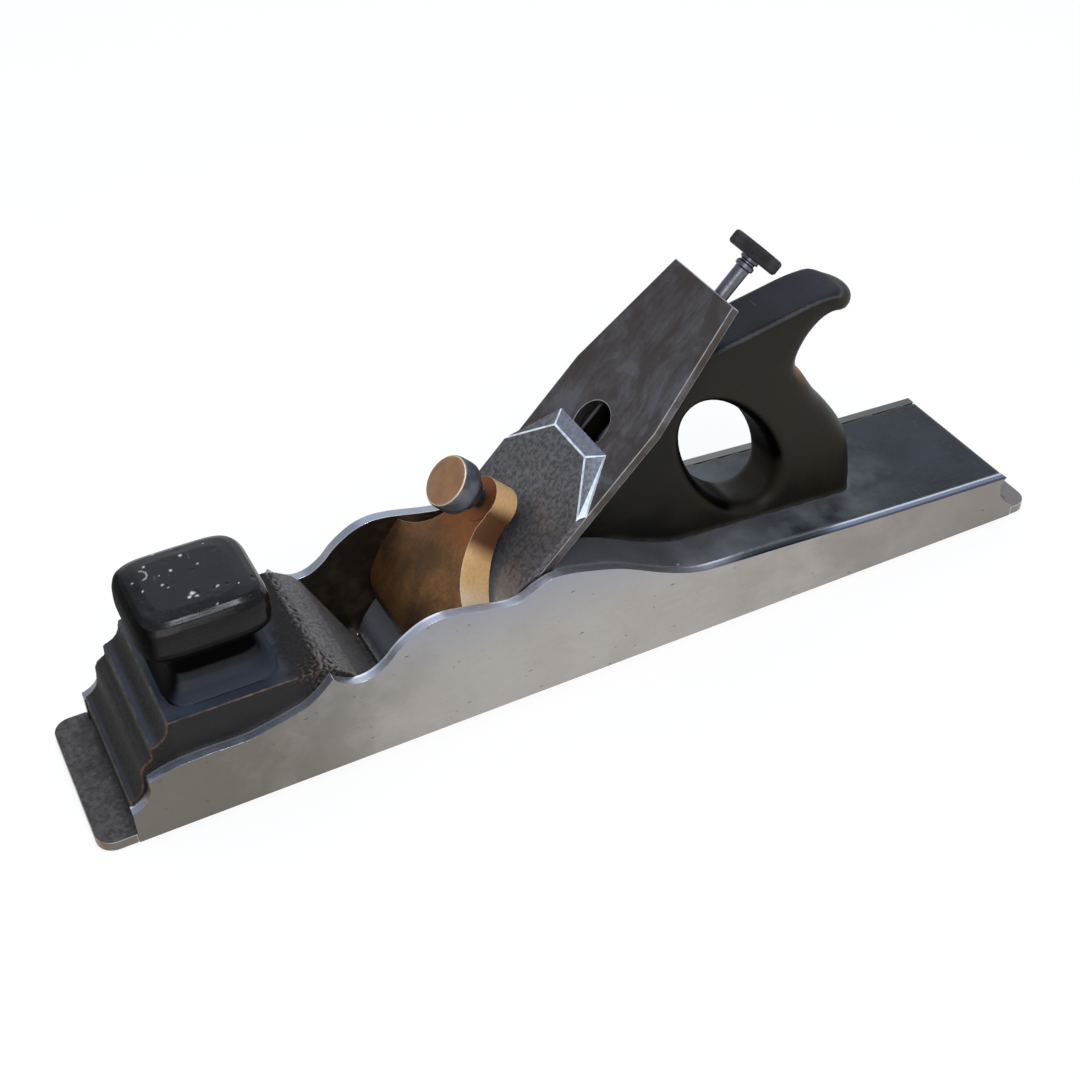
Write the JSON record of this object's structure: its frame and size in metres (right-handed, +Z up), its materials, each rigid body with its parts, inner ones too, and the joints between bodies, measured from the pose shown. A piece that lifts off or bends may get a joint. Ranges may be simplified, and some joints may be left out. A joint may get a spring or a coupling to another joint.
{
  "type": "infill jointer plane",
  "caption": "Long steel and dark wood bench plane with a closed handle, coved front bun, bronze lever cap and screw adjuster.",
  "frame": {"origin": "centre of the bounding box on the floor under the sole", "axes": "+X towards the heel, +Z up; the blade is fed towards -X and down"},
  "size_m": [0.4444, 0.074, 0.1661],
  "materials": {
    "sole_steel": "satin",
    "side_steel": "satin",
    "dark_wood": "satin",
    "handle_wood": "satin",
    "lever_bronze": "aged",
    "screw_bronze": "aged",
    "dark_steel": "aged",
    "cap_steel": "aged",
    "iron_steel": "aged",
    "spindle_steel": "satin",
    "knob_steel": "aged"
  },
  "bodies": {
    "plane_body": {"toe_sole": "sole_steel", "heel_sole": "sole_steel", "left_side": "side_steel", "right_side": "side_steel", "mouth_block": "side_steel", "mouth_block_rivets": "side_steel", "front_infill": "dark_wood", "front_bun": "dark_wood", "front_infill_rivets": "side_steel", "rear_infill": "dark_wood", "tote": "handle_wood", "rear_infill_rivets": "side_steel", "lever_cap_pins": "side_steel", "adjuster_plate": "dark_steel", "adjuster_plate_screws": "dark_steel"},
    "swivel": {"adjuster_swivel": "lever_bronze"},
    "carrier": {"adjuster_carrier": "dark_steel"},
    "spindle": {"adjuster_spindle": "spindle_steel"},
    "knob": {"adjuster_knob": "knob_steel"},
    "cap_iron_body": {"cap_iron": "cap_steel", "cap_iron_screw": "cap_steel"},
    "iron": {"cutting_iron": "iron_steel"},
    "lever": {"lever_cap": "lever_bronze"},
    "screw": {"lever_cap_screw": "dark_steel"},
    "screw_head": {"lever_cap_screw_head": "screw_bronze"}
  },
  "joints": [
    {"name": "lateral_swing", "type": "hinge", "parent": "plane_body", "child": "swivel", "pos_m": [0.00713, 0, 0.0693], "axis": [-0.7071, 0, 0.7071], "range_deg": [-0.85, 0.85]},
    {"name": "adjuster_turn", "type": "hinge", "parent": "spindle", "child": "knob", "pos_m": [0.08534, 0, 0.15882], "axis": [-0.7071, 0, -0.7071], "range_deg": [-2881, 721]},
    {"name": "adjuster_feed", "type": "slide", "parent": "swivel", "child": "spindle", "axis": [-0.7071, 0, -0.7071], "range_m": [-0.01017, 0.00255]},
    {"name": "iron_feed", "type": "slide", "parent": "swivel", "child": "carrier", "axis": [-0.7071, 0, -0.7071], "range_m": [-0.00381, 0.00095]},
    {"name": "iron_tilt", "type": "hinge", "parent": "carrier", "child": "cap_iron_body", "pos_m": [-0.03105, 0, 0.05374], "axis": [-0.7071, 0, 0.7071], "range_deg": [-1.42, 1.42]},
    {"name": "cap_iron_set", "type": "slide", "parent": "cap_iron_body", "child": "iron", "axis": [0.7071, 0, 0.7071], "range_m": [0, 0.0013]},
    {"name": "lever_cap_tilt", "type": "hinge", "parent": "plane_body", "child": "lever", "pos_m": [-0.0657, 0, 0.04313], "axis": [0, 1, 0], "range_deg": [0, 4.96]},
    {"name": "clamp_screw_feed", "type": "slide", "parent": "lever", "child": "screw", "axis": [-0.7071, 0, 0.7071], "range_m": [0, 0.00382]},
    {"name": "clamp_screw_turn", "type": "hinge", "parent": "screw", "child": "screw_head", "pos_m": [-0.05297, 0, 0.0898], "axis": [-0.7071, 0, 0.7071], "range_deg": [0, 1081]}
  ],
  "couplings": [
    {"joint": "adjuster_turn", "follows": "iron_feed", "rad_per_m": 13200},
    {"joint": "adjuster_feed", "follows": "iron_feed", "ratio": 2.6681},
    {"joint": "iron_tilt", "follows": "lateral_swing", "ratio": -1.655},
    {"joint": "clamp_screw_feed", "follows": "lever_cap_tilt", "m_per_rad": 0.044},
    {"joint": "clamp_screw_turn", "follows": "lever_cap_tilt", "ratio": 217.69}
  ]
}
